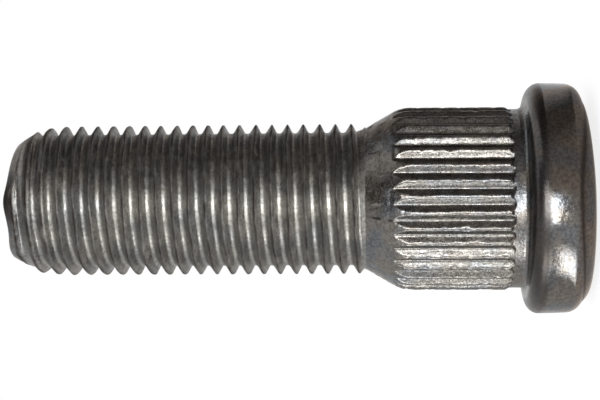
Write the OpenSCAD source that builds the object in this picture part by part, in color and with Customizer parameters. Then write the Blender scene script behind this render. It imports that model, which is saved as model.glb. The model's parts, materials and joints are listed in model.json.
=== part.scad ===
// Press-in wheel stud: a domed round head, a serrated shank, a cone and a rolled metric thread,
// all forged and rolled as one piece of steel. It stands on its head. +Z runs from the head to
// the thread's tip, and Z is 0 at the bearing face under the head. Sizes are in millimetres.

/* [Head] */
// Diameter of the round head
head_d = 18; // [17:0.1:24]
// Height of the head, from the flat that it stands on to the bearing face
head_h = 5.35; // [4.8:0.05:8]
// Radius of the rounding between the head's side and its domed end
crown_edge_r = 2; // [1:0.1:2.4]
// Radius of the dome on the head's end
dome_r = 30.6; // [24:0.2:60]
// Diameter of the flat at the middle of the dome
rest_flat_d = 6; // [3:0.1:9]
// Radius of the rounding on the bearing side of the head
rim_r = 1.2; // [0.5:0.05:1.3]

/* [Neck] */
// Diameter of the plain neck between the head and the serrations
neck_d = 13.9; // [13.5:0.05:14.1]
// Length of the neck, from the bearing face to the slope up to the serrations
neck_len = 0.75; // [0.7:0.05:3]
// Length of the slope from the neck up to the serrations
neck_slope_len = 0.4; // [0.1:0.05:1]
// Radius of the fillet between the neck and the bearing face
neck_fillet_r = 0.4; // [0.2:0.05:0.6]

/* [Serrations] */
// Diameter over the tops of the serrations
serration_d = 14.25; // [14.15:0.05:15]
// Length of the serrations, from the neck's slope to the corner of the cone
serration_len = 8.25; // [4:0.05:14]
// Number of serrations around the shank
serration_n = 36; // [20:1:40]
// Depth of the grooves between the serrations
groove_depth = 0.45; // [0.2:0.05:0.6]
// Width of the flat bottom of each groove
groove_floor_w = 0.1; // [0.05:0.01:0.3]
// Width of the narrow top that each serration keeps
land_w = 0.2; // [0.1:0.01:0.4]

/* [Cone] */
// Angle between the cone's side and the axis, in degrees
cone_angle = 30; // [25:1:45]
// Radius that blends the cone into the serrations
blend_r = 2.8; // [0.5:0.1:4]

/* [Thread] */
// Outer diameter of the thread
thread_d = 11.8; // [11.3:0.05:12]
// Distance between two turns of the thread
pitch = 1.25; // [1:0.05:1.75]
// Depth of the thread, from crest to root
thread_depth = 0.73; // [0.4:0.01:0.85]
// Share of the pitch between the middle of a crest and the edge of its rounding
crest_half = 0.1; // [0.04:0.01:0.14]
// Share of the pitch between the middle of a root and the edge of its rounding
root_half = 0.12; // [0.04:0.01:0.16]
// How far the edges of the crest's rounding lie below the crest
crest_round = 0.06; // [0.02:0.01:0.12]
// How far the edges of the root's rounding lie above the root
root_round = 0.06; // [0.02:0.01:0.12]
// Turn of the thread about the axis, in degrees
thread_turn = 102; // [0:1:360]
// Diameter of the blank that the thread was rolled on, where the thread runs out
blank_d = 11.1; // [10.6:0.05:11.2]
// Length over which the crests fade at the run-out
crest_fade_len = 0.73; // [0.3:0.01:1.5]
// Length over which the roots fade at the run-out
root_fade_len = 1.03; // [0.3:0.01:2]

/* [Tip] */
// Distance from the bearing face to the highest point of the tip
reach = 39.95; // [25:0.05:60]
// Diameter of the tip at its highest point
tip_d = 8.9; // [7:0.1:9.4]
// Angle between the tip's chamfer and the axis, in degrees
tip_angle = 30; // [20:1:45]
// Lean of the tip's end face, in degrees
tip_lean = 2.8; // [0:0.2:8]
// Height of the bevel around the end face
tip_bevel_h = 0.25; // [0.1:0.05:0.4]
// Width of the bevel around the end face
tip_bevel_w = 0.35; // [0.1:0.05:0.6]
// How far the first crest falls short of the full thread at the tip
first_short = 0.45; // [0:0.05:0.8]
// Length over which the first crests rise to the full thread
first_rise_len = 4.4; // [1:0.1:8]

/* [Hidden] */

// Steps in each rounded stretch of the turned outline
dome_steps = 8;
edge_steps = 7;
fillet_steps = 4;
// Columns of points around the thread
thread_sides = 32;
// Smallest step between two rings of the thread's skin
skin_gap = 0.04;
// How far the thread's body runs down inside the cone, and how far it stays inside the blank
thread_sink = 0.3;
thread_inset = 0.02;

head_r = head_d / 2;
neck_r = neck_d / 2;
rest_flat_r = rest_flat_d / 2;
serration_r = serration_d / 2;
blank_r = blank_d / 2;
thread_r = thread_d / 2;
root_r = thread_r - thread_depth;
tip_r = tip_d / 2;

serration_z = neck_len + neck_slope_len;
cone_corner_z = serration_z + serration_len;
cone_foot_z = cone_corner_z + (serration_r - blank_r) / tan(cone_angle);
blend_z = cone_corner_z - blend_r * tan(cone_angle / 2);

// The dome meets the rounding of the head's edge where both have the same tangent.
dome_z = sqrt(pow(dome_r, 2) - pow(rest_flat_r, 2)) - head_h;
dome_start = asin(rest_flat_r / dome_r) - 90;
dome_end = asin((head_r - crown_edge_r) / (dome_r - crown_edge_r)) - 90;
crown_edge_z = dome_z - sqrt(pow(dome_r - crown_edge_r, 2) - pow(head_r - crown_edge_r, 2));

function arc(centre, radius, from, to, steps, first = 0) =
    [for (i = [first:steps])
        let (a = from + (to - from) * i / steps)
        centre + radius * [cos(a), sin(a)]];

// Half outline of everything that is turned: head, neck, shank and cone
turned_outline = concat(
    [[0, -head_h]],
    arc([0, dome_z], dome_r, dome_start, dome_end, dome_steps),
    arc([head_r - crown_edge_r, crown_edge_z], crown_edge_r, dome_end, 0, edge_steps, 1),
    arc([head_r - rim_r, -rim_r], rim_r, 0, 90, edge_steps),
    arc([neck_r + neck_fillet_r, neck_fillet_r], neck_fillet_r, 270, 180, fillet_steps),
    [[neck_r, neck_len]],
    [[serration_r, serration_z]],
    arc([serration_r - blend_r, blend_z], blend_r, 0, cone_angle, edge_steps),
    [[blank_r, cone_foot_z]],
    [[0, cone_foot_z]]
);

// One groove between two serrations, cut along the shank until the cone falls away from it
module groove() {
    over = 1;
    floor_r = serration_r - groove_depth;
    mouth_half = serration_r * sin(180 / serration_n) - land_w / 2;
    mouth_r = serration_r * cos(180 / serration_n);
    floor_half = groove_floor_w / 2;
    wall_slope = (mouth_half - floor_half) / (mouth_r - floor_r);
    outer_half = mouth_half + over * wall_slope;
    translate([0, 0, serration_z])
        linear_extrude(height = cone_foot_z - serration_z)
            polygon([
                [floor_r, -floor_half],
                [mouth_r + over, -outer_half],
                [mouth_r + over, outer_half],
                [floor_r, floor_half]
            ]);
}

module turned_body() {
    difference() {
        rotate_extrude($fn = 96) polygon(turned_outline);
        for (i = [0:serration_n - 1])
            rotate([0, 0, 360 * (i + 0.5) / serration_n]) groove();
    }
}

// Rows of the thread's skin in one pitch: where each lies from the root, and its radius
row_at = [0, root_half, 0.5 - crest_half, 0.5, 0.5 + crest_half, 1 - root_half];
row_r = [root_r, root_r + root_round, thread_r - crest_round,
         thread_r, thread_r - crest_round, root_r + root_round];
rows = len(row_at);

skin_low_z = cone_foot_z - thread_sink;
root_line_z = reach - pitch * (thread_turn / 360 + 0.5);
first_root_z = root_line_z - pitch * ceil((root_line_z - skin_low_z) / pitch);
row_limit = rows * ceil((reach - first_root_z) / pitch + 1);

// The end face is the plane z = tip_mid_z - lean * x.
lean = tan(tip_lean);
flare = tan(tip_angle);
tip_mid_z = reach - lean * tip_r;

function clamp(share) = max(0, min(1, share));
function turn_of(column) = 360 * column / thread_sides;
function row_z(column, row) =
    first_root_z + pitch * (column / thread_sides + floor(row / rows) + row_at[row % rows]);

// Radius that the thread can't pass at a height: the chamfer, the short first crests, the fade
function crest_limit(z) = min(
    thread_r - first_short * clamp(1 - (reach - z) / first_rise_len),
    tip_r + (reach - z) * flare,
    blank_r - thread_inset + (thread_r - blank_r) * clamp((z - cone_foot_z) / crest_fade_len));
function root_limit(z) =
    blank_r - thread_inset - (blank_r - root_r) * clamp((z - cone_foot_z) / root_fade_len);
function skin_r(column, row) =
    let (z = row_z(column, row))
    min(crest_limit(z), max(root_limit(z), row_r[row % rows]));

// Radius at which a plane parallel to the end face, lower by a drop, cuts the tip's chamfer
function chamfer_cut_r(turn, drop) =
    (tip_r + (reach - tip_mid_z + drop) * flare) / (1 - lean * flare * cos(turn));
function on_plane(turn, radius, drop) =
    [radius * cos(turn), radius * sin(turn), tip_mid_z - drop - lean * radius * cos(turn)];

low_ring = [for (c = [0:thread_sides - 1])
    let (radius = blank_r - thread_inset)
    [radius * cos(turn_of(c)), radius * sin(turn_of(c)), skin_low_z]];
bevel_ring = [for (c = [0:thread_sides - 1])
    on_plane(turn_of(c), chamfer_cut_r(turn_of(c), tip_bevel_h), tip_bevel_h)];
end_ring = [for (c = [0:thread_sides - 1])
    on_plane(turn_of(c), chamfer_cut_r(turn_of(c), 0) - tip_bevel_w, 0)];

// The rows of each column that lie clear of the rings at both ends
column_rows = [for (c = [0:thread_sides - 1])
    [for (row = [0:row_limit])
        if (row_z(c, row) > skin_low_z + skin_gap && row_z(c, row) < bevel_ring[c][2] - skin_gap)
            row]];
column_start = [for (c = 0, sum = 0; c < thread_sides; sum = sum + len(column_rows[c]), c = c + 1) sum];
skin_count = column_start[thread_sides - 1] + len(column_rows[thread_sides - 1]);
low_start = skin_count;
bevel_start = low_start + thread_sides;
end_start = bevel_start + thread_sides;
low_centre = end_start + thread_sides;
end_centre = low_centre + 1;

function first_row(column) = column_rows[column][0];
function last_row(column) = first_row(column) + len(column_rows[column]) - 1;
function skin_index(column, row) = column_start[column] + row - first_row(column);

skin_points = [for (c = [0:thread_sides - 1])
    for (row = column_rows[c])
        let (radius = skin_r(c, row))
        [radius * cos(turn_of(c)), radius * sin(turn_of(c)), row_z(c, row)]];

// Two triangles between neighbouring points of two columns, seen from outside
function patch(a, b, c, d) = [[a, c, b], [a, d, c]];

// Closes the skin between two columns against the ring above or below it. The side that has
// more rows is fanned to the last point of the other side.
function close_up(left, right, ring_left, ring_right) =
    len(left) > len(right)
        ? concat(
            [for (i = [0:len(left) - 2]) [left[i], left[i + 1], right[len(right) - 1]]],
            patch(left[len(left) - 1], right[len(right) - 1], ring_right, ring_left))
        : concat(
            [for (i = [0:1:len(right) - 2]) [left[len(left) - 1], right[i + 1], right[i]]],
            patch(left[len(left) - 1], right[len(right) - 1], ring_right, ring_left));
function flip(faces) = [for (f = faces) [f[0], f[2], f[1]]];

// Faces of one strip of the skin, between a column and the next one around. The last strip
// meets the first column one turn of the thread higher up.
function strip(column) =
    let (
        next = (column + 1) % thread_sides,
        shift = next == 0 ? rows : 0,
        low = max(first_row(column), first_row(next) - shift),
        high = min(last_row(column), last_row(next) - shift)
    )
    concat(
        [for (row = [low:high - 1])
            each patch(
                skin_index(column, row), skin_index(next, row + shift),
                skin_index(next, row + shift + 1), skin_index(column, row + 1))],
        close_up(
            [for (row = [high:last_row(column)]) skin_index(column, row)],
            [for (row = [high:last_row(next) - shift]) skin_index(next, row + shift)],
            bevel_start + column, bevel_start + next),
        flip(close_up(
            [for (row = [low:-1:first_row(column)]) skin_index(column, row)],
            [for (row = [low:-1:first_row(next) - shift]) skin_index(next, row + shift)],
            low_start + column, low_start + next)),
        patch(bevel_start + column, bevel_start + next, end_start + next, end_start + column),
        [[end_start + column, end_centre, end_start + next]],
        [[low_start + column, low_start + next, low_centre]]
    );

module thread_body() {
    polyhedron(
        points = concat(
            skin_points, low_ring, bevel_ring, end_ring,
            [[0, 0, skin_low_z]], [[0, 0, tip_mid_z]]),
        faces = [for (c = [0:thread_sides - 1]) each strip(c)],
        convexity = 10);
}

module wheel_stud() {
    color("dimgray") {
        turned_body();
        thread_body();
    }
}

wheel_stud();
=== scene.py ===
"""Looks of a press-in wheel stud that stands on its head, with its thread upward.

The stud is one forged and rolled piece of steel, so it is one closed mesh. Its shape is worked out
in millimetres, ring by ring and turn by turn, and scaled to metres when the mesh is made.
"""

import json
import math

import bpy
import numpy as np
from mathutils import Matrix, Vector, noise


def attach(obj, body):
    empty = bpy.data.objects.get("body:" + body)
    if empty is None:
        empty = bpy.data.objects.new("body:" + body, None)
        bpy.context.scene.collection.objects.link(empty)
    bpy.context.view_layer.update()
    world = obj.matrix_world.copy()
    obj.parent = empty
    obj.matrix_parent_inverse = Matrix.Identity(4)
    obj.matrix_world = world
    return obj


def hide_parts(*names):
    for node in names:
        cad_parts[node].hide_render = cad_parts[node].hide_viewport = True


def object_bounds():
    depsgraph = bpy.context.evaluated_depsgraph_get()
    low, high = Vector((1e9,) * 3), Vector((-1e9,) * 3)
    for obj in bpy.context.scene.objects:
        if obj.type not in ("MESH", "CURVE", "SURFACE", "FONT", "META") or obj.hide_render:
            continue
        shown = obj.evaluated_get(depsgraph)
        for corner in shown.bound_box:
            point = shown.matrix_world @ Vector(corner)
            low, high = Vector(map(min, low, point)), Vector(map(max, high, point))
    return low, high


MM = 0.001

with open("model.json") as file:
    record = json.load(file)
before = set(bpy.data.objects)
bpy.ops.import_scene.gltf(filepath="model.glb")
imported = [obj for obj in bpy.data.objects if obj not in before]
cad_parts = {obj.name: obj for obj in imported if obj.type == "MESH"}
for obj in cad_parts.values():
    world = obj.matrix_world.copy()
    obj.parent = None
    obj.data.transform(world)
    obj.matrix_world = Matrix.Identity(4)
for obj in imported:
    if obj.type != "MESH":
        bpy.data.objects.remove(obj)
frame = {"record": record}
cad_low, cad_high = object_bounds()
mounts = {mount["name"]: mount for mount in frame["record"]["mounts"]}

# Sizes that the frame gives
REST_Z = cad_low.z / MM
REACH = cad_high.z / MM
HEAD_R = (cad_high.y - cad_low.y) / 2 / MM
SERRATION_R = mounts["serrations"]["dims"]["r_mm"]
THREAD_R = mounts["thread"]["dims"]["r_mm"]

# Noise: how far one step of the seed moves it, and the seed of each use
SEED_STEP = (17.3, 5.1, 9.7)
LEFT_LIP_SEED = 1
RIGHT_LIP_SEED = 3
TOOTH_SEED = 5
WALL_SEED = 6
FLOOR_SEED = 7
CHIP_SEED = 8
CREST_SEED = 11

# Thread
PITCH = 1.25
THREAD_DEPTH = 0.73
ROOT_LINE_Z = 38.97
FLANK_ANGLE = math.radians(60)
ROOT_ARC = 0.29
CREST_ARC = PITCH * math.sin(FLANK_ANGLE) - THREAD_DEPTH - ROOT_ARC
THREAD_BLEND = 0.05
CREST_SWAY = 0.13
CREST_SWAY_SIZE = 3.0
CREST_LEAN = 0.06
THREAD_COLUMNS = 112
ROOT_STEPS = 4
FLANK_STEPS = 2
CREST_STEPS = 4
END_GAP = 0.03

# Lips on the thread's crests, the fold between them, and the painted shade along each crest
LIP_VARIATION = 0.035
LIP_REACH = 2.2 * CREST_ARC
LIP_SIZE = 1.3
LIP_FINE_SIZE = 0.4
LIP_FINE_SHARE = 0.6
SEAM_DEPTH = 0.07
SEAM_DEPTH_SWAY = 0.4
SEAM_FOLD = 0.2 * CREST_ARC
# Painted shade along each crest, over the fold and the crest's sides, where the crest would catch light
CREST_SHADE_SIDE = 0.05
CREST_SHADE_HALF = 0.185
CREST_SHADE_SHARPNESS = 1.5
CREST_SHADE_LEVEL = 0.85
CREST_SHADE_SWAY = 0.5

# Run-out of the thread at the foot of the cone
BLANK_R = 5.55
CREST_FADE = 0.73
ROOT_FADE = 1.03

# Tip
TIP_R = 4.45
TIP_ANGLE = math.radians(30)
TIP_FLARE = math.tan(TIP_ANGLE)
TIP_LEAN = math.tan(math.radians(2.8))
TIP_EDGE = 0.3
TIP_EDGE_TURN = math.pi / 2 - TIP_ANGLE
TIP_TANGENT = TIP_EDGE * math.tan(TIP_EDGE_TURN / 2)
TIP_EDGE_STEPS = 5
TIP_FACE_STEPS = 10
TIP_DISH = 0.05
TIP_BLEND = 0.08
CHAMFER_LENGTH = 0.3
FIRST_SHORT = 0.45
FIRST_RISE = 4.4
FIRST_CREST_SHADE = 1.2
TIP_FLAT_TURN = math.radians(-35)
TIP_FLAT = 0.3
TIP_FLAT_DEPTH = 2.2
TIP_FLAT_WIDTH = math.radians(50)
TIP_GROOVE = 0.55
TIP_GROOVE_TURN = math.radians(-115)
TIP_GROOVE_WIDTH = math.radians(50)
TIP_GROOVE_TOP = 0.62
TIP_GROOVE_FADE = 0.2
BURR_TURN = math.radians(-91)
BURR_HEIGHT = 0.19
BURR_WIDTH = math.radians(14)
# Painted shade at the burr: its width round the axis and how far down the thread it reaches
BURR_SHADE_WIDTH = 1.8 * BURR_WIDTH
BURR_SHADE_DEPTH = 0.35
DENT_TURN = math.radians(-124)
DENT_DEPTH = 0.17
DENT_WIDTH = math.radians(18)

# Cone and neck
CONE_CORNER_Z = 9.40
CONE_ANGLE = math.radians(30)
BLEND_R = 2.8
CONE_FOOT_Z = CONE_CORNER_Z + (SERRATION_R - BLANK_R) / math.tan(CONE_ANGLE)
BLEND_Z = CONE_CORNER_Z - BLEND_R * math.tan(CONE_ANGLE / 2)
NECK_R = 6.95
NECK_TOP_Z = 1.07

# Serrations
SERRATIONS = 36
TOOTH_ANGLE = 2 * math.pi / SERRATIONS
GROOVE_FLOOR_R = SERRATION_R - 0.42
GROOVE_FLOOR_HALF = 0.05
GROOVE_BLEND = 0.05
LAND_HALF = 0.04
LAND_BLEND = 0.04
LAND_END_Z = 1.48
TOOTH_SWAY = math.radians(0.45)
TOOTH_SWAY_SIZE = 0.8
TOOTH_SWAY_STRETCH = 1.6
GROOVE_RIPPLE = 0.02
GROOVE_STRETCH = 3
FLOOR_RIPPLE_SIZE = 1.2
WALL_RIPPLE_SIZE = 0.5
CHIP_DEPTH = 0.10
CHIP_SIZE = 0.45
CHIP_FINE_SIZE = 0.2
CHIP_FINE_SHARE = 0.8
CHIP_STRETCH = 1.5
CHIP_START_Z = 0.9
CHIP_FULL_Z = 1.5
BURNISH_START = -0.05
BURNISH_FULL = 0.03

# Pockets where the grooves end at the neck, and the painted shade in them
POCKET_Z = 0.94
POCKET_END = 0.14
POCKET_SHADE_START = 0.1
POCKET_SHADE_FULL = 0.25
POCKET_SHADE_FADE = 0.3

# Rings of the shank, from the cone's foot down to the neck
SHANK_COLUMNS = 12 * SERRATIONS
CONE_START_Z = CONE_FOOT_Z - 0.12
CONE_END_Z = 10.45
CONE_RINGS = 8
POINTS_START_Z = 10.36
POINTS_RINGS = 20
LANDS_START_Z = BLEND_Z - 0.18
LANDS_END_Z = LAND_END_Z + 0.1
LANDS_RINGS = 36
SHANK_END_Z = POCKET_Z - 0.05
SHANK_END_RINGS = 14

# Head
HEAD_COLUMNS = 180
HEAD_SHIFT = 0.045
SIDE_R = HEAD_R - 1.1 * HEAD_SHIFT
HEAD_START_R = NECK_R + 0.2
HEAD_FULL_R = NECK_R + 0.8
NECK_FILLET = 0.4
FILLET_SWAY = 0.12
FILLET_LEAD = 0.1
FILLET_TURNS = np.radians(np.linspace(180, 265, 6))
FACE_SHINE = 1.0
FACE_DROP = 0.10
FACE_SHARES = (0.33, 0.67)
RIM_ARC = 1.2
RIM_ARC_SWAY = 0.1
RIM_TURNS = np.radians(np.linspace(88, 6, 11))
RIM_FADE = 0.15
# Painted shade on the rim, stronger round one turn, so that the rim doesn't catch the lamps
RIM_PAINTED_SHADE = 0.55
RIM_SHADE_TURN = math.radians(-125)
RIM_SHADE_WIDTH = math.radians(38)
RIM_SHADE_MORE = 0.3
RIM_SHADE_END_Z = -RIM_ARC - 0.1
RIM_SHADE_FULL_Z = -0.8 * RIM_ARC
BARREL = 0.05
SIDE_SHARES = np.linspace(0, 0.9, 6)
CROWN_R = SIDE_R - BARREL
CROWN_ARC = 1.32
CROWN_Z = -3.07
CROWN_TILT = 0.006
CROWN_TURNS = np.radians((5, 10, 15))

# Domed cap, whose edge sits off the head's middle
CAP_X = 0.043
CAP_Y = -0.4
CAP_R = 8.76
CAP_EDGE = 1.674
CAP_TILT = 0.026
CAP_WALL = 3
CAP_BLEND = 0.05
CAP_TURNS = np.radians(np.arange(18, 91, 3))
CAP_RINGS = 15
CAP_LAST_R = 0.4
# Painted shade along the crease where the cap meets the crown: its widths and strength
CREASE_WIDTH = 0.10
CREASE_EDGE = 0.05
CREASE_SHADE = 0.88
DOME_R = 41.0


def smooth_low(a, b, blend):
    """The lower of two heights, rounded where they cross."""
    near = np.maximum(blend - np.abs(a - b), 0)
    return np.minimum(a, b) - near * near / (4 * blend)


def smooth_high(a, b, blend):
    """The higher of two heights, rounded where they cross."""
    return -smooth_low(-a, -b, blend)


def ramp(value, start, end):
    """0 at start, 1 at end, with a soft beginning and end."""
    share = np.clip((value - start) / (end - start), 0, 1)
    return share * share * (3 - 2 * share)


def bump(angles, turn, width):
    """A soft bump round the axis, 1 at its middle."""
    off = (angles - turn + math.pi) % (2 * math.pi) - math.pi
    return np.exp(-((off / width) ** 2))


def ripple(points, size, seed, stretch=1.0):
    """Smooth noise from about -1 to 1 at points in millimetres, stretched along the axis."""
    shift = Vector([seed * step for step in SEED_STEP])
    scale = np.array([1 / size, 1 / size, 1 / (size * stretch)])
    return np.array([noise.noise(Vector(p) + shift) for p in np.asarray(points) * scale])


def double_ripple(points, size, fine_size, fine_share, seed, stretch=1.0):
    """Smooth noise with a share of finer noise on it."""
    fine = ripple(points, fine_size, seed + 1, stretch)
    return ripple(points, size, seed, stretch) + fine_share * fine


class Skin:
    """Points and triangles of one closed surface, with a share of each kind of finish and of painted shade
    at each point.
    """

    def __init__(self):
        self.points = []
        self.faces = []
        self.finish = {"burnish": [], "seam": [], "head": [], "rolled": []}

    def add(self, points, **finish):
        first = len(self.points)
        self.points.extend(tuple(float(x) for x in p) for p in points)
        for name, values in self.finish.items():
            share = np.broadcast_to(finish.get(name, 0.0), (len(points),))
            values.extend(share.tolist())
        return list(range(first, len(self.points)))

    def zip_lines(self, low, low_keys, high, high_keys):
        """Triangles between two lines of points, whose rising keys say which points face each other."""
        i = j = 0
        while i < len(low) - 1 or j < len(high) - 1:
            low_next = j == len(high) - 1 or (i < len(low) - 1 and low_keys[i + 1] <= high_keys[j + 1])
            if low_next:
                self.faces.append((low[i], low[i + 1], high[j]))
                i += 1
            else:
                self.faces.append((low[i], high[j + 1], high[j]))
                j += 1

    def zip_rings(self, low, high):
        """Triangles between two closed rings, the upper one second, both counterclockwise from above."""
        low_keys = np.arange(len(low) + 1) / len(low)
        high_keys = np.arange(len(high) + 1) / len(high)
        self.zip_lines(low + low[:1], low_keys, high + high[:1], high_keys)

    def close(self, ring, centre, upward):
        """A fan from a ring to the point in its middle."""
        for a, b in zip(ring, ring[1:] + ring[:1]):
            self.faces.append((a, b, centre) if upward else (b, a, centre))


def turns(columns):
    """Even angles round the axis."""
    return np.arange(columns) * 2 * math.pi / columns


def ring_points(angles, radius, height, shift=0.0):
    """Points round the axis, shifted along X."""
    radius = np.broadcast_to(radius, angles.shape)
    height = np.broadcast_to(height, angles.shape)
    return np.stack([radius * np.cos(angles) + shift, radius * np.sin(angles), height], axis=1)


def bend(z):
    """How far the stud's axis has drifted along X at a height, from the cone down to the head."""
    return -HEAD_SHIFT * np.clip((CONE_FOOT_Z - z) / CONE_FOOT_Z, 0, 1)


# Thread

def half_rows():
    """Shares of the pitch, from the middle of a root to the middle of a crest."""
    root_edge = ROOT_ARC * math.sin(FLANK_ANGLE) / PITCH
    crest_edge = 0.5 - CREST_ARC * math.sin(FLANK_ANGLE) / PITCH
    root = np.linspace(0, root_edge, ROOT_STEPS + 1)
    flank = np.linspace(root_edge, crest_edge, FLANK_STEPS + 1)[1:]
    crest = np.linspace(crest_edge, 0.5, CREST_STEPS + 1)[1:]
    return np.concatenate([root, flank, crest])


ROW_HALF = half_rows()
ROW_SHARES = np.concatenate([ROW_HALF, 1 - ROW_HALF[-2:0:-1]])
ROWS = len(ROW_SHARES)


def thread_height(share):
    """Height over the root of the rolled thread's form, at shares of the pitch."""
    from_root = np.minimum(share, 1 - share) * PITCH
    from_crest = PITCH / 2 - from_root
    edge = ROOT_ARC * math.sin(FLANK_ANGLE)
    root = ROOT_ARC - np.sqrt(np.maximum(ROOT_ARC**2 - np.minimum(from_root, edge) ** 2, 0))
    crest_edge = CREST_ARC * math.sin(FLANK_ANGLE)
    crest_drop = CREST_ARC - np.sqrt(np.maximum(CREST_ARC**2 - np.minimum(from_crest, crest_edge) ** 2, 0))
    flank = np.clip(from_root - edge, 0, None) * math.tan(FLANK_ANGLE)
    return np.where(from_crest < crest_edge, THREAD_DEPTH - crest_drop, root + flank)


def tip_flat(angles, depth):
    """How much one side of the tip is ground flatter, at depths below the tip."""
    return TIP_FLAT * bump(angles, TIP_FLAT_TURN, TIP_FLAT_WIDTH) * np.clip(1 - depth / TIP_FLAT_DEPTH, 0, 1)


def crest_limit(angle, z, share):
    """Highest radius of the thread. On the chamfer its form goes on as a shallower groove."""
    rise = THREAD_R - FIRST_SHORT * np.clip(1 - (REACH - z) / FIRST_RISE, 0, 1)
    top_z = REACH - TIP_LEAN * TIP_R * (1 + math.cos(angle)) - TIP_GROOVE_TOP
    fade_in = bump(angle, TIP_GROOVE_TURN, TIP_GROOVE_WIDTH) * np.clip((top_z - z) / TIP_GROOVE_FADE, 0, 1)
    groove = TIP_GROOVE * (1 - thread_height(share) / THREAD_DEPTH) * fade_in
    chamfer = TIP_R + (REACH - z) * TIP_FLARE - tip_flat(angle, REACH - z) - groove
    fade = BLANK_R + (THREAD_R - BLANK_R) * np.clip((z - CONE_FOOT_Z) / CREST_FADE, 0, 1)
    return smooth_low(smooth_low(rise, chamfer, TIP_BLEND), fade, THREAD_BLEND)


def root_limit(z):
    """Lowest radius of the thread."""
    root_r = THREAD_R - THREAD_DEPTH
    return BLANK_R - (BLANK_R - root_r) * np.clip((z - CONE_FOOT_Z) / ROOT_FADE, 0, 1)


def thread_column(angle, z, share):
    """Radii of one column of the thread, with the fold on each crest, and how dark its points are from the
    painted shade along each crest.
    """
    at = ring_points(np.full(len(z), angle), THREAD_R, z)
    left_lip = double_ripple(at, LIP_SIZE, LIP_FINE_SIZE, LIP_FINE_SHARE, LEFT_LIP_SEED)
    right_lip = double_ripple(at, LIP_SIZE, LIP_FINE_SIZE, LIP_FINE_SHARE, RIGHT_LIP_SEED)
    off_crest = (share - 0.5) * PITCH
    near_crest = np.clip(1 - np.abs(off_crest) / LIP_REACH, 0, 1)
    lip = np.where(off_crest < 0, left_lip, right_lip)
    radius = THREAD_R - THREAD_DEPTH + thread_height(share) + near_crest * LIP_VARIATION * (lip - 1)
    fold = SEAM_DEPTH * (1 - SEAM_DEPTH_SWAY + SEAM_DEPTH_SWAY * left_lip)
    radius = np.where(np.abs(off_crest) < SEAM_FOLD, radius - fold, radius)
    radius = smooth_high(root_limit(z), radius, THREAD_BLEND)
    radius = smooth_low(crest_limit(angle, z, share), radius, THREAD_BLEND)
    # Painted shade along the crest, wider near the tip
    crest_shade_half = CREST_SHADE_HALF * (1 + FIRST_CREST_SHADE * np.clip(1 - (REACH - z) / FIRST_RISE, 0, 1))
    dark = np.clip(CREST_SHADE_SHARPNESS * (1 - np.abs(off_crest - CREST_SHADE_SIDE) / crest_shade_half), 0, 1)
    return radius, dark * np.clip(CREST_SHADE_LEVEL + CREST_SHADE_SWAY * right_lip, 0, 1)


def chamfer_cut(angles, drop):
    """Radius at which a plane parallel to the end face, lower by a drop, cuts the chamfer."""
    lean = TIP_LEAN * np.cos(angles)
    depth = TIP_LEAN * TIP_R + drop
    return (TIP_R + depth * TIP_FLARE) / (1 - lean * TIP_FLARE) - tip_flat(angles, depth + TIP_R * lean)


def burr_shade(angles):
    """Painted shade over the burr on the tip's edge, 1 at its middle."""
    return bump(angles, BURR_TURN, BURR_SHADE_WIDTH)


def tip_ring(angles, radius, drop):
    """A ring of the leaning end face, which has a burr and a dent on its edge."""
    mid_z = REACH - TIP_LEAN * TIP_R
    radius = np.broadcast_to(radius, angles.shape)
    burr = BURR_HEIGHT * bump(angles, BURR_TURN, BURR_WIDTH)
    dent = DENT_DEPTH * bump(angles, DENT_TURN, DENT_WIDTH)
    height = mid_z - drop - TIP_LEAN * radius * np.cos(angles)
    return ring_points(angles, radius, height + (burr - dent) * (radius / TIP_R) ** 2)


def build_thread(skin):
    """The thread from the foot of the cone to the tip's chamfer. Returns its lowest and highest ring."""
    angles = turns(THREAD_COLUMNS)
    top_drop = TIP_EDGE * (1 - math.cos(TIP_EDGE_TURN)) + CHAMFER_LENGTH
    top_points = tip_ring(angles, chamfer_cut(angles, top_drop), top_drop)
    low = skin.add(ring_points(angles, BLANK_R, CONE_FOOT_Z))
    top = skin.add(top_points, seam=burr_shade(angles))
    first_root = ROOT_LINE_Z - PITCH * math.ceil((ROOT_LINE_Z - CONE_FOOT_Z) / PITCH + 1)
    all_keys = np.arange(ROWS * math.ceil((REACH - first_root) / PITCH + 1))
    columns = []
    for c, angle in enumerate(angles):
        top_z = top_points[c][2]
        z = first_root + PITCH * (c / THREAD_COLUMNS + all_keys // ROWS + ROW_SHARES[all_keys % ROWS])
        inside = (z > CONE_FOOT_Z + END_GAP) & (z < top_z - END_GAP)
        keys, z = all_keys[inside], z[inside]
        around = np.full(len(z), angle)
        share = ROW_SHARES[keys % ROWS]
        radius, seam = thread_column(angle, z, share)
        # The burr's painted shade reaches a little way down the thread
        seam = np.maximum(seam, burr_shade(angle) * ramp(z, top_z - BURR_SHADE_DEPTH, top_z))
        sway = CREST_SWAY * ripple(ring_points(around, THREAD_R, z), CREST_SWAY_SIZE, CREST_SEED)
        z = z + (sway - CREST_LEAN) * (1 - np.cos(2 * math.pi * share)) / 2
        line = skin.add(ring_points(around, radius, z), seam=seam, rolled=1.0)
        columns.append((low[c], line, list(keys), top[c]))
    for c in range(THREAD_COLUMNS):
        shift = ROWS if c == THREAD_COLUMNS - 1 else 0
        left, right = columns[c], columns[(c + 1) % THREAD_COLUMNS]
        lines = []
        for column, lift in ((right, shift), (left, 0)):
            start, line, keys, end = column
            rows = [key - lift for key in keys]
            lines += [[start] + line + [end], [-math.inf] + rows + [math.inf]]
        skin.zip_lines(*lines)
    return low, top


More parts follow.
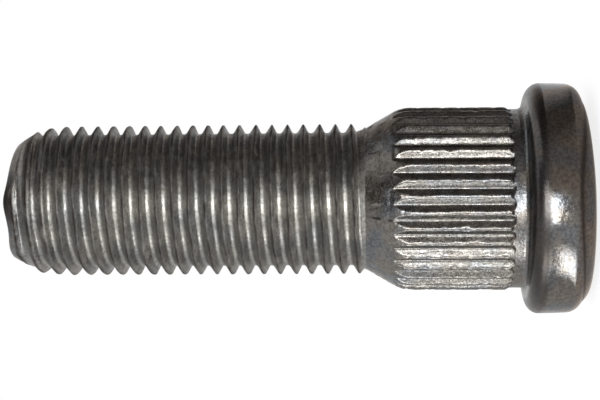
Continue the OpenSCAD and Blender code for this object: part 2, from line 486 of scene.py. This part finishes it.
def build_tip(skin, top):
    """Chamfer, rounded edge and leaning end face, with painted shade at the burr."""
    angles = turns(THREAD_COLUMNS)
    face_r = chamfer_cut(angles, 0) - TIP_TANGENT
    below = top
    for step in range(TIP_EDGE_STEPS, -1, -1):
        turn = TIP_EDGE_TURN * step / TIP_EDGE_STEPS
        points = tip_ring(angles, face_r + TIP_EDGE * math.sin(turn), TIP_EDGE * (1 - math.cos(turn)))
        ring = skin.add(points, seam=burr_shade(angles))
        skin.zip_rings(below, ring)
        below = ring
    for step in range(TIP_FACE_STEPS - 1, 0, -1):
        share = step / TIP_FACE_STEPS
        ring = skin.add(tip_ring(angles, face_r * share, TIP_DISH * (1 - share)))
        skin.zip_rings(below, ring)
        below = ring
    centre = skin.add(tip_ring(np.zeros(1), 0.0, TIP_DISH))[0]
    skin.close(below, centre, True)


# Cone, serrations and neck

def turned_radius(z):
    """Radius of the shank without its grooves."""
    cone = SERRATION_R - (z - CONE_CORNER_Z) * math.tan(CONE_ANGLE)
    blend_rise = np.clip(z - BLEND_Z, 0, BLEND_R * math.sin(CONE_ANGLE))
    blend = SERRATION_R - BLEND_R + np.sqrt(BLEND_R**2 - blend_rise**2)
    body = np.where(z > BLEND_Z + BLEND_R * math.sin(CONE_ANGLE), cone, blend)
    return body - (SERRATION_R - NECK_R) * (1 - ramp(z, NECK_TOP_Z, LAND_END_Z))


def nearest_tooth(angles):
    """Angle of the middle of the nearest tooth."""
    return np.floor(angles / TOOTH_ANGLE + 0.5) * TOOTH_ANGLE


def groove_radius(angles, z, sway):
    """Radius of the grooves' floors and walls at one height. Each tooth's top sways to one side."""
    from_top = np.abs(angles - nearest_tooth(angles))
    leaning = angles + sway * (1 - from_top / (TOOTH_ANGLE / 2))
    off = np.abs(leaning - (np.floor(leaning / TOOTH_ANGLE) + 0.5) * TOOTH_ANGLE)
    at = ring_points(angles, SERRATION_R, z)
    mouth_half = SERRATION_R * math.sin(TOOTH_ANGLE / 2) - LAND_HALF
    slope = (mouth_half - GROOVE_FLOOR_HALF) / (SERRATION_R - GROOVE_FLOOR_R)
    wall_r = (GROOVE_FLOOR_R - GROOVE_FLOOR_HALF / slope) / (np.cos(off) - np.sin(off) / slope)
    floor_r = GROOVE_FLOOR_R + GROOVE_RIPPLE * ripple(at, FLOOR_RIPPLE_SIZE, FLOOR_SEED, GROOVE_STRETCH)
    groove_r = smooth_high(wall_r, floor_r, GROOVE_BLEND)
    groove_r = groove_r + GROOVE_RIPPLE * ripple(at, WALL_RIPPLE_SIZE, WALL_SEED, GROOVE_STRETCH)
    return groove_r + (SERRATION_R - GROOVE_FLOOR_R) * (1 - ramp(z, POCKET_Z, POCKET_Z + POCKET_END))


def shank_radius(angles, z):
    """Radius of the grooved shank at one height, with shares of burnish and of the pockets' painted shade.
    """
    tooth_tops = ring_points(nearest_tooth(angles), SERRATION_R, z)
    sway = TOOTH_SWAY * ripple(tooth_tops, TOOTH_SWAY_SIZE, TOOTH_SEED, TOOTH_SWAY_STRETCH)
    groove_r = groove_radius(angles, z, sway)
    chips = double_ripple(tooth_tops, CHIP_SIZE, CHIP_FINE_SIZE, CHIP_FINE_SHARE, CHIP_SEED, CHIP_STRETCH)
    chipped = CHIP_DEPTH * np.clip(chips, 0, 1) * ramp(z, CHIP_START_Z, CHIP_FULL_Z)
    body = turned_radius(np.full(angles.shape, z)) - chipped
    depth = body - groove_r
    burnish = ramp(depth, BURNISH_START, BURNISH_FULL) * ramp(z, POCKET_Z, LAND_END_Z)
    # Painted shade in the pockets where the grooves end
    pocket_shade = ramp(depth, POCKET_SHADE_START, POCKET_SHADE_FULL) * (1 - ramp(z, NECK_TOP_Z, NECK_TOP_Z + POCKET_SHADE_FADE))
    return smooth_low(groove_r, body, LAND_BLEND), burnish, pocket_shade


def build_shank(skin, thread_low):
    """Cone, serrations and neck, from the thread down to the fillet under the head."""
    angles = turns(SHANK_COLUMNS)
    heights = np.concatenate([
        np.linspace(CONE_START_Z, CONE_END_Z, CONE_RINGS),
        np.linspace(POINTS_START_Z, BLEND_Z, POINTS_RINGS),
        np.linspace(LANDS_START_Z, LANDS_END_Z, LANDS_RINGS),
        np.linspace(LAND_END_Z, SHANK_END_Z, SHANK_END_RINGS),
    ])
    above = thread_low
    for z in heights:
        radius, burnish, pocket_shade = shank_radius(angles, z)
        ring = skin.add(ring_points(angles, radius, z, bend(z)), burnish=burnish, seam=pocket_shade)
        skin.zip_rings(ring, above)
        above = ring
    return above


# Head

def body_height(radius, x):
    """Height of the crown's rounding, which turns level further in. The crown leans a little."""
    off = np.clip(radius - (CROWN_R - CROWN_ARC), 0, CROWN_ARC)
    return CROWN_Z + CROWN_TILT * x - np.sqrt(CROWN_ARC**2 - off**2)


def cap_height(x, y):
    """Height of the domed cap and of the rounding round its edge, at places from the head's middle."""
    radius = np.hypot(x - CAP_X, y - CAP_Y)
    join_r = CAP_R - CAP_EDGE
    lean = math.asin(join_r / DOME_R)
    join_z = REST_Z + DOME_R - math.sqrt(DOME_R**2 - join_r**2)
    dome = REST_Z + DOME_R - np.sqrt(DOME_R**2 - np.minimum(radius, join_r) ** 2)
    sine = np.clip((radius - join_r) / CAP_EDGE + math.sin(lean), math.sin(lean), 1)
    edge = join_z + CAP_EDGE * (math.cos(lean) - np.sqrt(1 - sine**2))
    past = np.clip(radius - join_r - CAP_EDGE * (1 - math.sin(lean)), 0, None)
    return np.where(radius < join_r, dome, edge) + CAP_WALL * past + CAP_TILT * x


def head_meridian(fillet, rim, crown_lean):
    """Radii and heights of the head's rings, from its fillet to the start of the crown."""
    meridian = [(NECK_R, fillet + FILLET_LEAD)]
    for turn in FILLET_TURNS:
        meridian.append((NECK_R + fillet + fillet * math.cos(turn), fillet + fillet * math.sin(turn)))
    face_r, face_z = meridian[-1]
    for share in FACE_SHARES:
        meridian.append((face_r + (SIDE_R - rim - face_r) * share, face_z - (FACE_DROP + face_z) * share))
    for turn in RIM_TURNS:
        z = (rim - FACE_DROP) * math.sin(turn) - rim
        meridian.append((SIDE_R - rim + rim * math.cos(turn), z))
    for share in SIDE_SHARES:
        z = share * (CROWN_Z + crown_lean) - (1 - share) * RIM_ARC
        meridian.append((SIDE_R - BARREL * share**2, z))
    for turn in CROWN_TURNS:
        z = CROWN_Z + crown_lean - CROWN_ARC * math.sin(turn)
        meridian.append((CROWN_R - CROWN_ARC * (1 - math.cos(turn)), z))
    return meridian


def build_head(skin, neck_ring):
    """Fillet, bearing face, rounded rim and side, down to the start of the crown's height field, with
    painted shade on the rim.
    """
    angles = turns(HEAD_COLUMNS)
    rim = RIM_ARC + RIM_ARC_SWAY * np.cos(angles)
    fillet = NECK_FILLET + FILLET_SWAY * np.cos(angles)
    crown_lean = CROWN_TILT * SIDE_R * np.cos(angles)
    wider = RIM_SHADE_MORE * bump(angles, RIM_SHADE_TURN, RIM_SHADE_WIDTH)
    above = neck_ring
    for radius, z in head_meridian(fillet, rim, crown_lean):
        head = ramp(radius, HEAD_START_R, HEAD_FULL_R)
        on_rim = ramp(radius, SIDE_R - rim - RIM_FADE, SIDE_R - rim + RIM_FADE)
        # Painted shade on the rim, more of it round one turn
        scale = (RIM_PAINTED_SHADE + wider) * on_rim * ramp(z + wider, RIM_SHADE_END_Z, RIM_SHADE_FULL_Z)
        shine = FACE_SHINE * head * (1 - on_rim)
        ring = skin.add(ring_points(angles, radius, z, -HEAD_SHIFT), head=head, seam=scale, rolled=shine)
        skin.zip_rings(ring, above)
        above = ring
    return above


def build_cap(skin, crown_ring):
    """The domed end, which meets the crown's rounding in a crease, with painted shade along the crease."""
    angles = turns(HEAD_COLUMNS)
    edge_radii = CROWN_R - CROWN_ARC * (1 - np.cos(CAP_TURNS))
    dome_radii = np.linspace(edge_radii[-1], CAP_LAST_R, CAP_RINGS)[1:]
    above = crown_ring
    for radius in np.concatenate([edge_radii, dome_radii]):
        at = ring_points(angles, radius, 0.0, -HEAD_SHIFT)
        x = at[:, 0] + HEAD_SHIFT
        body = body_height(np.full(angles.shape, radius), x)
        cap = cap_height(x, at[:, 1])
        at[:, 2] = np.maximum(smooth_low(body, cap, CAP_BLEND), REST_Z)
        # Painted shade along the crease
        width = np.where(body < cap, CREASE_WIDTH, CREASE_EDGE)
        crease = CREASE_SHADE * np.exp(-(((body - cap) / width) ** 2))
        ring = skin.add(at, head=1.0, seam=crease)
        skin.zip_rings(ring, above)
        above = ring
    centre = skin.add([(-HEAD_SHIFT, 0, REST_Z)])[0]
    skin.close(above, centre, False)


def make_stud():
    """The whole stud as one closed mesh, from the tip down to the domed end."""
    skin = Skin()
    low, top = build_thread(skin)
    build_tip(skin, top)
    neck_ring = build_shank(skin, low)
    crown_ring = build_head(skin, neck_ring)
    build_cap(skin, crown_ring)
    mesh = bpy.data.meshes.new("stud_body")
    mesh.from_pydata([tuple(x * MM for x in p) for p in skin.points], [], skin.faces)
    for name, values in skin.finish.items():
        mesh.attributes.new(name, "FLOAT", "POINT").data.foreach_set("value", values)
    mesh.update()
    for polygon in mesh.polygons:
        polygon.use_smooth = True
    stud = bpy.data.objects.new("stud_body", mesh)
    bpy.context.scene.collection.objects.link(stud)
    return stud


# Steel: colours
OILED = (0.190, 0.176, 0.160)
COOL_OILED = (0.150, 0.158, 0.168)
BURNISHED = (0.17, 0.166, 0.154)
ROLLED = (0.35, 0.346, 0.322)
# Dark colour of the dirt speckles, and of all the painted shade: crests, burr, pockets, rim and crease
DIRT_AND_PAINTED_SHADE = (0.035, 0.030, 0.027)
EDGE_TINT = (0.78, 0.78, 0.78, 1.0)

# Steel: sizes of its patches in millimetres, around and along the stud
PATCH_SIZE = (2.2, 2.2)
SCALE_SIZE = (0.7, 0.7)
SPECKLE_SIZE = (0.22, 0.22)
GRAIN_SIZE = (0.07, 0.07)
STREAK_SIZE = (0.25, 1.6)
RING_SIZE = (1.6, 0.10)
NOISE_DETAIL = 3.0
GRAIN_DETAIL = 1.0
RING_DETAIL = 2.0

# Steel: noise values between which a patch fades in, and how strongly it shows
PATCH_FADE = (0.42, 0.58)
STREAK_FADE = (0.38, 0.62)
STREAK_BARE = (0.25, 1.0)
ROLLED_BARE = (0.85, 0.5)
DIRT_FADE = (0.35, 0.62)
DIRT_SHARE = (0.5, 0.0)

# Steel: places along X between which the rolled metal is painted darker, as painted shade on its +X side,
# and the share of bright rolled metal there
PAINTED_SHADE_SIDE = (1.0 * MM, 4.5 * MM)
PAINTED_SHADE_SHARE = (1.0, 0.3)

# Steel: roughness
GRAIN_SHARE = 0.6
SATIN_FADE = (0.42, 0.58)
SATIN_ROUGH = (0.17, 0.46)
ROLLED_ROUGH = 0.12
SEAM_ROUGH = 0.3
HEAD_GLOSS = 0.36

# Steel: relief
RELIEF_HEIGHT = 0.03 * MM
SPECKLE_RELIEF = 0.7
RING_RELIEF = 0.2
STREAK_RELIEF = 0.6
HEAD_RELIEF = 0.3
THREAD_RELIEF = 0.7
HEAD_SCALE_RELIEF = 0.3


# Sockets of the mix node that mixes colours
MIX_INPUTS = (6, 7)
MIX_RESULT = 2


class Nodes:
    """Short names for the nodes of one material."""

    def __init__(self, material):
        self.tree = material.node_tree
        self.place = self.tree.nodes.new("ShaderNodeTexCoord").outputs["Object"]

    def link(self, value, socket):
        if isinstance(value, (int, float, tuple)):
            socket.default_value = value
        else:
            self.tree.links.new(value, socket)

    def math(self, operation, a, b, clamp=False):
        node = self.tree.nodes.new("ShaderNodeMath")
        node.operation = operation
        node.use_clamp = clamp
        self.link(a, node.inputs[0])
        self.link(b, node.inputs[1])
        return node.outputs[0]

    def times(self, a, b):
        return self.math("MULTIPLY", a, b)

    def plus(self, a, b, clamp=False):
        return self.math("ADD", a, b, clamp)

    def noise(self, size, detail=NOISE_DETAIL):
        """Noise with patches of the given sizes in millimetres, around and along the stud."""
        around, along = size
        mapping = self.tree.nodes.new("ShaderNodeMapping")
        mapping.inputs["Scale"].default_value = (1 / (around * MM), 1 / (around * MM), 1 / (along * MM))
        self.link(self.place, mapping.inputs["Vector"])
        node = self.tree.nodes.new("ShaderNodeTexNoise")
        node.inputs["Scale"].default_value = 1.0
        node.inputs["Detail"].default_value = detail
        self.link(mapping.outputs[0], node.inputs["Vector"])
        return node.outputs["Fac"]

    def band(self, value, limits, results=(0.0, 1.0)):
        """Turns values between two limits into values between two results."""
        node = self.tree.nodes.new("ShaderNodeMapRange")
        node.inputs["From Min"].default_value = limits[0]
        node.inputs["From Max"].default_value = limits[1]
        node.inputs["To Min"].default_value = results[0]
        node.inputs["To Max"].default_value = results[1]
        self.link(value, node.inputs["Value"])
        return node.outputs[0]

    def blend(self, share, results):
        """From one result to another as a share goes from 0 to 1."""
        return self.band(share, (0.0, 1.0), results)

    def mix(self, share, a, b):
        node = self.tree.nodes.new("ShaderNodeMix")
        node.data_type = "RGBA"
        self.link(share, node.inputs["Factor"])
        for value, place in zip((a, b), MIX_INPUTS):
            self.link((*value, 1.0) if isinstance(value, tuple) else value, node.inputs[place])
        return node.outputs[MIX_RESULT]

    def across(self):
        """Place along X, in metres."""
        node = self.tree.nodes.new("ShaderNodeSeparateXYZ")
        self.link(self.place, node.inputs[0])
        return node.outputs["X"]

    def zone(self, name):
        node = self.tree.nodes.new("ShaderNodeAttribute")
        node.attribute_name = name
        return node.outputs["Fac"]


def steel_material():
    """Dark oiled steel with mottled patches and burnished serrations, with painted shade on the thread's
    crests, the burr, the pockets, the head's rim and the crease, and the rolled metal painted darker towards
    +X.
    """
    material = bpy.data.materials.new("steel")
    material.use_nodes = True
    shader = material.node_tree.nodes["Principled BSDF"]
    shader.inputs["Metallic"].default_value = 1.0
    shader.inputs["Specular Tint"].default_value = EDGE_TINT
    n = Nodes(material)
    burnish, seam, head, rolled = n.zone("burnish"), n.zone("seam"), n.zone("head"), n.zone("rolled")
    patches = n.band(n.noise(PATCH_SIZE), PATCH_FADE)
    scale = n.noise(SCALE_SIZE)
    speckle = n.noise(SPECKLE_SIZE)
    grain = n.noise(GRAIN_SIZE, GRAIN_DETAIL)
    streak = n.noise(STREAK_SIZE)
    rings = n.noise(RING_SIZE, RING_DETAIL)

    colour = n.mix(patches, OILED, COOL_OILED)
    bare = n.times(burnish, n.band(streak, STREAK_FADE, STREAK_BARE))
    colour = n.mix(bare, colour, BURNISHED)
    # Painted shade: the rolled metal's bright colour fades towards +X
    rolled_unshaded = n.times(rolled, n.band(n.across(), PAINTED_SHADE_SIDE, PAINTED_SHADE_SHARE))
    colour = n.mix(n.times(rolled_unshaded, n.blend(patches, ROLLED_BARE)), colour, ROLLED)
    colour = n.mix(n.band(speckle, DIRT_FADE, DIRT_SHARE), colour, DIRT_AND_PAINTED_SHADE)
    # Painted shade: the crests, burr, pockets, rim and crease darken towards the dark colour
    colour = n.mix(seam, colour, DIRT_AND_PAINTED_SHADE)
    n.link(colour, shader.inputs["Base Color"])

    satin = n.plus(n.times(grain, GRAIN_SHARE), n.times(scale, 1 - GRAIN_SHARE))
    rough = n.band(satin, SATIN_FADE, SATIN_ROUGH)
    rough = n.times(rough, n.blend(head, (1.0, HEAD_GLOSS)))
    rough = n.plus(rough, n.times(rolled, ROLLED_ROUGH))
    rough = n.plus(rough, n.times(seam, SEAM_ROUGH), True)
    n.link(rough, shader.inputs["Roughness"])

    relief = n.plus(n.times(speckle, SPECKLE_RELIEF), n.times(rings, RING_RELIEF))
    relief = n.plus(relief, n.times(n.times(streak, burnish), STREAK_RELIEF))
    relief = n.times(relief, n.blend(head, (1.0, HEAD_RELIEF)))
    relief = n.times(relief, n.blend(rolled, (1.0, THREAD_RELIEF)))
    relief = n.plus(relief, n.times(n.times(scale, head), HEAD_SCALE_RELIEF))
    bump_node = n.tree.nodes.new("ShaderNodeBump")
    bump_node.inputs["Strength"].default_value = 1.0
    bump_node.inputs["Distance"].default_value = RELIEF_HEIGHT
    n.link(relief, bump_node.inputs["Height"])
    n.link(bump_node.outputs[0], shader.inputs["Normal"])
    return material


# Camera. It looks along +Y, and is rolled so that the stud lies across the picture.
CAMERA_AT = Vector((-2.677, -125.01, 10.477)) * MM
VIEW_TURN = math.radians(1.2)
VIEW_RISE = math.radians(3.15)
VIEW_ROLL = math.radians(0.4)
LENS = 95.68
SENSOR = 36.0
CLIP_START = 0.005
CLIP_END = 10


def make_camera():
    """The photo's point of view."""
    forward = Vector((
        math.sin(VIEW_TURN) * math.cos(VIEW_RISE),
        math.cos(VIEW_TURN) * math.cos(VIEW_RISE),
        math.sin(VIEW_RISE),
    ))
    level = forward.cross(Vector((0, 0, 1))).normalized()
    rise = level.cross(forward)
    up = level * math.cos(VIEW_ROLL) - rise * math.sin(VIEW_ROLL)
    right = forward.cross(up)
    data = bpy.data.cameras.new("camera")
    data.lens = LENS
    data.sensor_width = SENSOR
    data.clip_start = CLIP_START
    data.clip_end = CLIP_END
    camera = bpy.data.objects.new("camera", data)
    camera.matrix_world = Matrix((
        (right.x, up.x, -forward.x, CAMERA_AT.x),
        (right.y, up.y, -forward.y, CAMERA_AT.y),
        (right.z, up.z, -forward.z, CAMERA_AT.z),
        (0, 0, 0, 1),
    ))
    bpy.context.scene.collection.objects.link(camera)
    bpy.context.scene.camera = camera


# World and floor
SOFT_WORLD = 0.6
SEEN_WORLD = 1.0
FLOOR_HALF = 3.0
FLOOR_SOFT = (0.9, 0.9, 0.9, 1)
FLOOR_SEEN = (0.35, 0.35, 0.35, 1)
FLOOR_GLOW = 0.81


def seen_ray(nodes, links):
    """1 for rays that see the background: from the camera, or by gloss or transmission."""
    path = nodes.new("ShaderNodeLightPath")
    gloss = nodes.new("ShaderNodeMath")
    gloss.operation = "MAXIMUM"
    both = nodes.new("ShaderNodeMath")
    both.operation = "MAXIMUM"
    links.new(path.outputs["Is Camera Ray"], gloss.inputs[0])
    links.new(path.outputs["Is Glossy Ray"], gloss.inputs[1])
    links.new(gloss.outputs[0], both.inputs[0])
    links.new(path.outputs["Is Transmission Ray"], both.inputs[1])
    return both.outputs[0]


def make_world():
    """A white world that lights a little less than it shows."""
    world = bpy.data.worlds.new("studio")
    bpy.context.scene.world = world
    world.use_nodes = True
    nodes, links = world.node_tree.nodes, world.node_tree.links
    shade = nodes["Background"]
    strength = nodes.new("ShaderNodeMapRange")
    strength.inputs["To Min"].default_value = SOFT_WORLD
    strength.inputs["To Max"].default_value = SEEN_WORLD
    links.new(seen_ray(nodes, links), strength.inputs["Value"])
    links.new(strength.outputs[0], shade.inputs["Strength"])
    shade.inputs["Color"].default_value = (1, 1, 1, 1)


def make_floor():
    """A floor that is seen as nearly white, with only a soft shadow under the head."""
    mesh = bpy.data.meshes.new("floor")
    corners = ((-1, -1), (1, -1), (1, 1), (-1, 1))
    mesh.from_pydata([(x * FLOOR_HALF, y * FLOOR_HALF, REST_Z * MM) for x, y in corners], [], [(0, 1, 2, 3)])
    floor = bpy.data.objects.new("floor", mesh)
    bpy.context.scene.collection.objects.link(floor)
    material = bpy.data.materials.new("floor")
    material.use_nodes = True
    nodes, links = material.node_tree.nodes, material.node_tree.links
    nodes.remove(nodes["Principled BSDF"])
    diffuse = nodes.new("ShaderNodeBsdfDiffuse")
    diffuse.inputs["Color"].default_value = FLOOR_SOFT
    part = nodes.new("ShaderNodeBsdfDiffuse")
    part.inputs["Color"].default_value = FLOOR_SEEN
    glow = nodes.new("ShaderNodeEmission")
    glow.inputs["Strength"].default_value = FLOOR_GLOW
    bright = nodes.new("ShaderNodeAddShader")
    mix = nodes.new("ShaderNodeMixShader")
    links.new(part.outputs[0], bright.inputs[0])
    links.new(glow.outputs[0], bright.inputs[1])
    links.new(seen_ray(nodes, links), mix.inputs[0])
    links.new(diffuse.outputs[0], mix.inputs[1])
    links.new(bright.outputs[0], mix.inputs[2])
    links.new(mix.outputs[0], nodes["Material Output"].inputs["Surface"])
    mesh.materials.append(material)


# Lamps: name, turn in degrees, distance, width and top in metres, radiance
LAMPS = (
    ("near_strip", -7, 0.115, 0.036, 0.062, 13),
    ("low_strip", -68, 0.120, 0.046, 0.040, 8),
)
LAMP_LOW = -0.005

# Cards round the stud. Each stop is a turn in degrees and a strength, and distances are in metres.
CARD_COLOUR = (1.0, 0.88, 0.81)
LOWER_COLOUR = (1.0, 0.97, 0.95)
PATCH_COLOUR = (1, 1, 1)
CARD_LEVEL = 0.75
CARD_STEP = 4
CARD_Z = REST_Z * MM + 0.0003
PATCH_Z = CARD_Z + 0.0001
SHADE_IN = 0.002
FLOOR_IN = 0.0115
WALL_AT = 0.42
WALL_TOP = 0.36
UPPER_STOPS = [(4, 0.6), (14, 0.5), (40, 0.38), (60, 0.17), (84, 0.16), (124, 1.1)]
WALL_STOPS = [
    (4, 0.6), (14, 0.4), (40, 0.3), (60, 0.12), (80, 0.08),
    (105, 0.08), (118, 0.15), (132, 0.45), (150, 1.0),
]
LOWER_STOPS = [
    (-172, 0.9), (-150, 0.85), (-100, 0.85), (-60, 0.75),
    (-44, 1.0), (-28, 1.1), (-16, 0.8), (4, 0.6),
]
SHADE_STOPS = [(-180, 0.9), (-40, 0.9), (0, 0.55), (60, 0.45), (120, 0.6), (180, 0.9)]

# Bright patches on the floor: their stops, their distances, and the share of the glow at each distance
PATCH_STEP = 1
NEAR_STOPS = [(-25, CARD_LEVEL), (-16, 20), (-6, 20), (3, CARD_LEVEL)]
NEAR_DISTANCES = (0.027, 0.036, 0.060, 0.070)
NEAR_SHARES = (0, 1, 1, 0)
LOW_STOPS = [(-70, CARD_LEVEL), (-61, 8), (-50, 8), (-38, CARD_LEVEL)]
LOW_DISTANCES = (0.012, 0.016, 0.025, 0.031)
LOW_SHARES = (0.3, 1, 1, 0)

# A dark card above the camera, which the cone reflects. Turns are in degrees.
QUARTER_TURN = 90
FRONT_RISE = 51
FRONT_DISTANCE = 0.4
FRONT_HALF = 0.22
FRONT_SIDES = (-0.1, 0.2)
FRONT_LEVEL = 0.13


def direction(turn, rise):
    """From the stud: turn 0 is towards the camera and 90 towards +X, rise is towards +Z."""
    turn, rise = math.radians(turn), math.radians(rise)
    return Vector((math.sin(turn) * math.cos(rise), -math.cos(turn) * math.cos(rise), math.sin(rise)))


def add_lamp(name, turn, distance, width, top, radiance):
    """An upright area lamp that faces the stud."""
    data = bpy.data.lights.new(name, "AREA")
    data.shape = "RECTANGLE"
    data.size = width
    data.size_y = top - LAMP_LOW
    data.energy = radiance * math.pi * width * (top - LAMP_LOW)
    lamp = bpy.data.objects.new(name, data)
    towards = direction(turn, 0)
    lamp.location = towards * distance + Vector((0, 0, (LAMP_LOW + top) / 2))
    side = Vector((0, 0, 1)).cross(towards).normalized()
    lamp.rotation_mode = "QUATERNION"
    lamp.rotation_quaternion = Matrix((side, Vector((0, 0, 1)), towards)).transposed().to_quaternion()
    lamp.visible_camera = False
    bpy.context.scene.collection.objects.link(lamp)


def add_card(name, points, faces, colour, strengths):
    """A glowing card that only shapes the reflections. The camera and soft light don't see it."""
    mesh = bpy.data.meshes.new(name)
    mesh.from_pydata(points, [], faces)
    shade = mesh.attributes.new("shade", "FLOAT", "POINT")
    shade.data.foreach_set("value", strengths)
    card = bpy.data.objects.new(name, mesh)
    bpy.context.scene.collection.objects.link(card)
    material = bpy.data.materials.new(name)
    material.use_nodes = True
    nodes, links = material.node_tree.nodes, material.node_tree.links
    nodes.remove(nodes["Principled BSDF"])
    glow = nodes.new("ShaderNodeEmission")
    glow.inputs["Color"].default_value = (*colour, 1)
    level = nodes.new("ShaderNodeAttribute")
    level.attribute_name = "shade"
    links.new(level.outputs["Fac"], glow.inputs["Strength"])
    links.new(glow.outputs[0], nodes["Material Output"].inputs["Surface"])
    mesh.materials.append(material)
    card.visible_camera = False
    card.visible_diffuse = False
    card.visible_shadow = False


def sector_card(name, colour, stops, profile, shares=None, step=CARD_STEP):
    """A card swept round the stud from turn to turn, on a profile of distances and heights in metres.

    The shares say how far each row of the profile is lifted from the cards' usual level.
    """
    stop_turns, stop_strengths = zip(*stops)
    fine_turns = np.arange(stop_turns[0], stop_turns[-1] + 1, step)
    fine_strengths = np.interp(fine_turns, stop_turns, stop_strengths)
    points, strengths, faces = [], [], []
    shares = shares or [1.0] * len(profile)
    for turn, strength in zip(fine_turns.tolist(), fine_strengths.tolist()):
        way = direction(turn, 0)
        points += [(way.x * out, way.y * out, height) for out, height in profile]
        strengths += [CARD_LEVEL + (strength - CARD_LEVEL) * share for share in shares]
    rows = len(profile)
    for column in range(len(fine_turns) - 1):
        for row in range(rows - 1):
            first = column * rows + row
            faces.append((first, first + rows, first + rows + 1, first + 1))
    add_card(name, points, faces, colour, strengths)


def add_patch(name, stops, distances, shares):
    """A bright patch with soft edges, just above the floor."""
    sector_card(name, PATCH_COLOUR, stops, [(out, PATCH_Z) for out in distances], shares, PATCH_STEP)


def add_front_card():
    centre = direction(0, FRONT_RISE) * FRONT_DISTANCE
    up = direction(0, FRONT_RISE + QUARTER_TURN) * FRONT_HALF
    left, right = (Vector((side, 0, 0)) for side in FRONT_SIDES)
    points = [centre + left - up, centre + right - up, centre + right + up, centre + left + up]
    add_card("front_card", points, [(0, 1, 2, 3)], CARD_COLOUR, [FRONT_LEVEL] * len(points))


def make_lights():
    for lamp in LAMPS:
        add_lamp(*lamp)
    floor_rows = [(FLOOR_IN, CARD_Z), (WALL_AT, CARD_Z)]
    sector_card("upper_floor", CARD_COLOUR, UPPER_STOPS, floor_rows)
    sector_card("upper_wall", CARD_COLOUR, WALL_STOPS, [(WALL_AT, CARD_Z), (WALL_AT, WALL_TOP)])
    sector_card("lower_card", LOWER_COLOUR, LOWER_STOPS, floor_rows)
    sector_card("contact_shade", CARD_COLOUR, SHADE_STOPS, [(SHADE_IN, CARD_Z), (FLOOR_IN, CARD_Z)])
    add_patch("near_patch", NEAR_STOPS, NEAR_DISTANCES, NEAR_SHARES)
    add_patch("low_patch", LOW_STOPS, LOW_DISTANCES, LOW_SHARES)
    add_front_card()


make_camera()
stud = make_stud()
stud.data.materials.append(steel_material())
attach(stud, "root")
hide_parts("wheel_stud")
make_world()
make_floor()
make_lights()

scene = bpy.context.scene
scene.view_settings.view_transform = "Standard"
